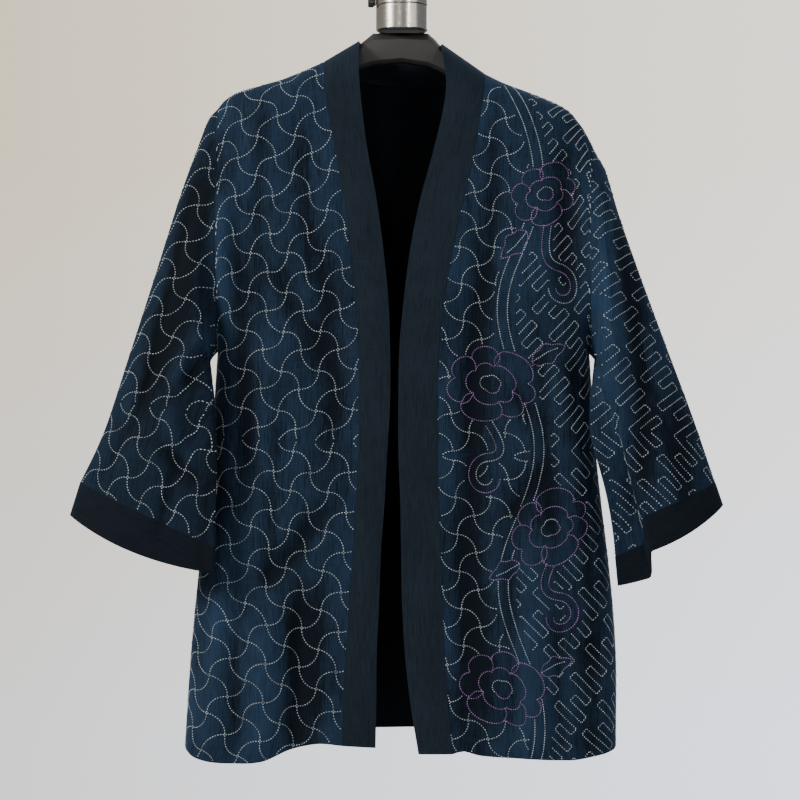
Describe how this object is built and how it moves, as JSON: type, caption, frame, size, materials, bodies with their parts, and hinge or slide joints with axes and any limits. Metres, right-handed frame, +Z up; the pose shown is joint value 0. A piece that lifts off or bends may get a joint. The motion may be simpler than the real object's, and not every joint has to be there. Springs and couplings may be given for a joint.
{
  "type": "kimono cardigan on a hanger",
  "caption": "Open kimono-style cardigan with wide hanging sleeves, plain cuffs and a long plain neckband, hung on a shaped hanger under a short steel tube.",
  "frame": {"origin": "centre of the steel tube's flat top face, where the part is held", "axes": "+Z up out of the tube's top, +X to the garment's right-hand side as seen from the front, +Y towards its back"},
  "size_m": [0.7164, 0.1214, 0.8692],
  "materials": {
    "indigo_cloth": "matte slub cotton with off-white running stitches",
    "band_cloth": "matte plain slub cotton",
    "black_plastic": "satin",
    "steel": "brushed and polished"
  },
  "bodies": {
    "root": {"back": "indigo_cloth", "front_left": "indigo_cloth", "front_right": "indigo_cloth", "sleeve_left": "indigo_cloth", "sleeve_right": "indigo_cloth", "cuff_left": "band_cloth", "cuff_right": "band_cloth", "neckband": "band_cloth", "hanger": "black_plastic", "tube_core": "black_plastic", "clamp_knob": "black_plastic", "tube_upper": "steel", "tube_lower": "steel"}
  },
  "joints": []
}
